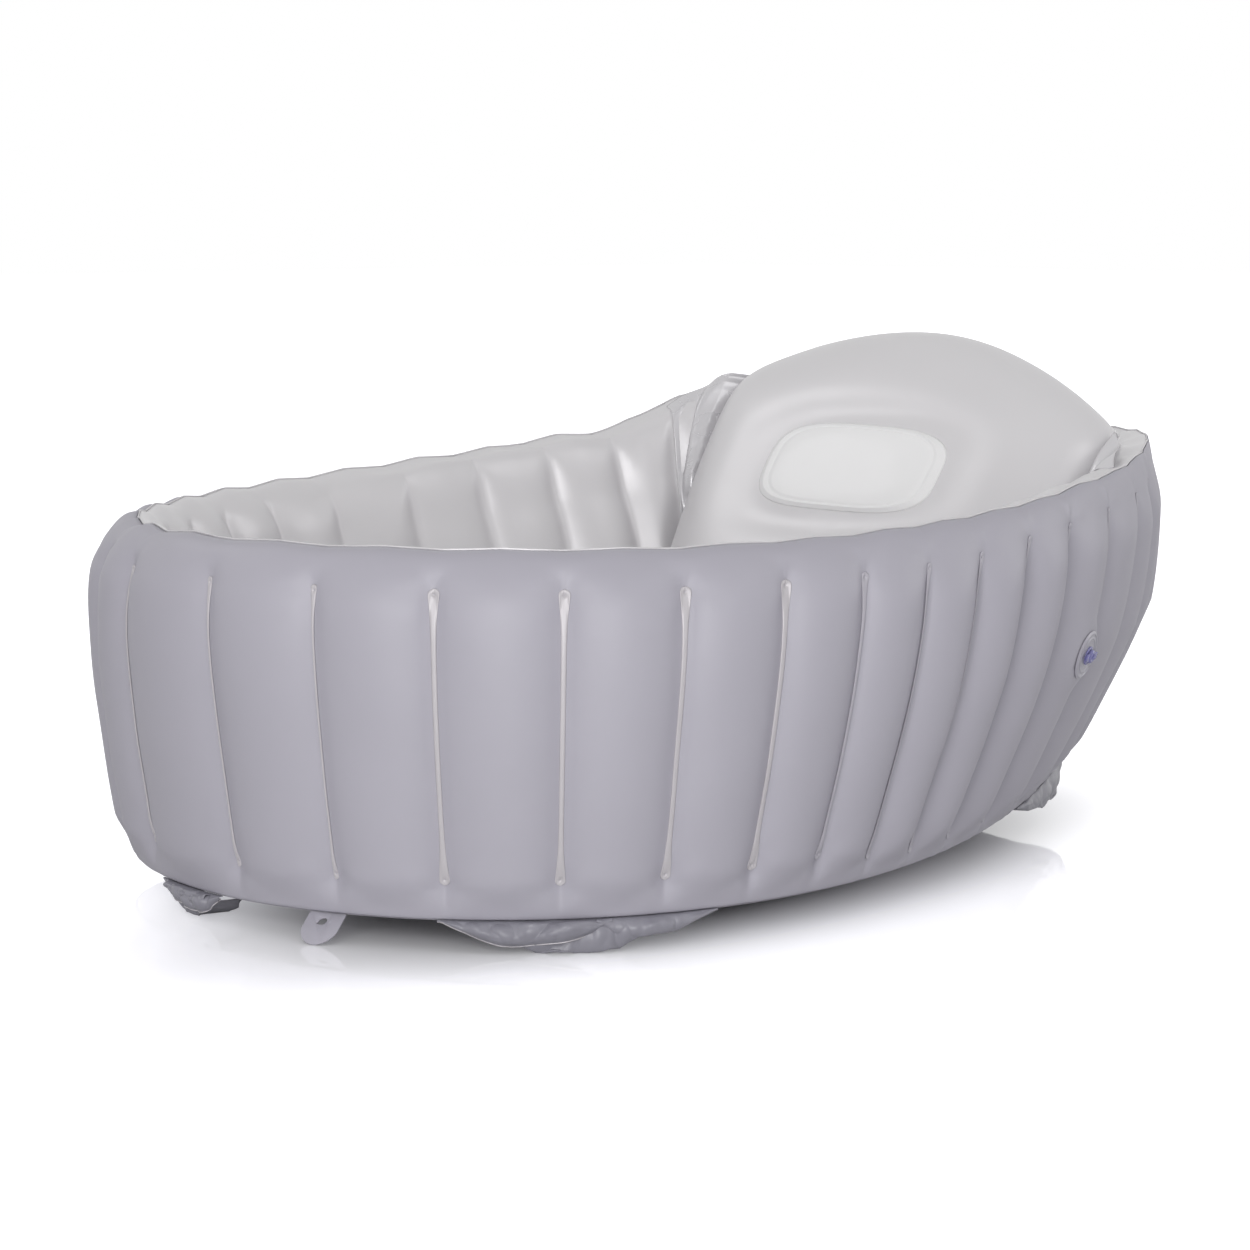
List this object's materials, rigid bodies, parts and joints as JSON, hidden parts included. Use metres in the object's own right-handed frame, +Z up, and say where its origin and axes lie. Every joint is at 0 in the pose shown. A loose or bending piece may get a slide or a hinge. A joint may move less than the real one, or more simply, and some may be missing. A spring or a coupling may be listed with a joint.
{
  "type": "inflatable baby bathtub",
  "caption": "Egg-shaped inflatable baby bathtub with a ribbed double wall, an inflated floor, a large leaning backrest cushion, air valves, a drain and a hanging tab.",
  "frame": {"origin": "on the floor, under the middle of the tub's overall box", "axes": "+X towards the head end with the backrest, -Y is the side with the wall's air valve, +Z up"},
  "size_m": [0.9412, 0.6952, 0.3813],
  "materials": {
    "grey_film": "matt grey-violet vinyl film",
    "pearl_film": "satin pearl vinyl film",
    "white_film": "satin white vinyl",
    "clear_vinyl": "smooth half-clear vinyl",
    "violet_vinyl": "smooth half-clear blue-violet vinyl"
  },
  "bodies": {
    "tub": {"backrest_back_skin": "pearl_film", "backrest_front_skin": "pearl_film", "backrest_panel": "white_film", "backrest_valve_body": "clear_vinyl", "base_sheet": "grey_film", "drain_body": "clear_vinyl", "floor_cushion_skin": "pearl_film", "floor_valve_body": "clear_vinyl", "gusset_far": "pearl_film", "gusset_near": "pearl_film", "inner_wall_skin": "pearl_film", "outer_wall_skin": "grey_film", "skirt_fold_foot": "grey_film", "skirt_fold_head": "grey_film", "skirt_fold_side": "grey_film", "wall_valve_body": "clear_vinyl", "wall_web_far_01": "pearl_film", "wall_web_far_02": "pearl_film", "wall_web_far_03": "pearl_film", "wall_web_far_04": "pearl_film", "wall_web_far_05": "pearl_film", "wall_web_far_06": "pearl_film", "wall_web_far_07": "pearl_film", "wall_web_far_08": "pearl_film", "wall_web_far_09": "pearl_film", "wall_web_far_10": "pearl_film", "wall_web_far_11": "pearl_film", "wall_web_far_12": "pearl_film", "wall_web_far_13": "pearl_film", "wall_web_far_14": "pearl_film", "wall_web_far_15": "pearl_film", "wall_web_far_16": "pearl_film", "wall_web_far_17": "pearl_film", "wall_web_far_18": "pearl_film", "wall_web_near_01": "pearl_film", "wall_web_near_02": "pearl_film", "wall_web_near_03": "pearl_film", "wall_web_near_04": "pearl_film", "wall_web_near_05": "pearl_film", "wall_web_near_06": "pearl_film", "wall_web_near_07": "pearl_film", "wall_web_near_08": "pearl_film", "wall_web_near_09": "pearl_film", "wall_web_near_10": "pearl_film", "wall_web_near_11": "pearl_film", "wall_web_near_12": "pearl_film", "wall_web_near_13": "pearl_film", "wall_web_near_14": "pearl_film", "wall_web_near_15": "pearl_film", "wall_web_near_16": "pearl_film", "wall_web_near_17": "pearl_film", "wall_web_near_18": "pearl_film"},
    "wall_valve_stem": {"wall_valve_stem": "violet_vinyl", "wall_valve_flap": "clear_vinyl"},
    "wall_valve_plug": {"wall_valve_plug": "violet_vinyl"},
    "backrest_valve_plug": {"backrest_valve_plug": "violet_vinyl"},
    "floor_valve_plug": {"floor_valve_plug": "violet_vinyl"},
    "drain_plug": {"drain_plug": "white_film"},
    "hanging_tab": {"hanging_tab": "grey_film"}
  },
  "joints": [
    {"name": "wall_valve_pull", "type": "slide", "parent": "tub", "child": "wall_valve_stem", "axis": [0.3338, -0.8999, -0.2805], "range_m": [0, 0.011]},
    {"name": "wall_plug_pull", "type": "slide", "parent": "wall_valve_stem", "child": "wall_valve_plug", "axis": [0.3338, -0.8999, -0.2805], "range_m": [0, 0.012]},
    {"name": "backrest_plug_pull", "type": "slide", "parent": "tub", "child": "backrest_valve_plug", "axis": [0.9305, 0, 0.3662], "range_m": [0, 0.012]},
    {"name": "floor_plug_pull", "type": "slide", "parent": "tub", "child": "floor_valve_plug", "axis": [0, 0, 1], "range_m": [0, 0.012]},
    {"name": "drain_plug_pull", "type": "slide", "parent": "tub", "child": "drain_plug", "axis": [0, 0, 1], "range_m": [0, 0.018]},
    {"name": "tab_swing", "type": "hinge", "parent": "tub", "child": "hanging_tab", "pos_m": [-0.42257, -0.09104, 0.01831], "axis": [-0.3179, 0.9481, 0], "range_deg": [0, 40]}
  ]
}
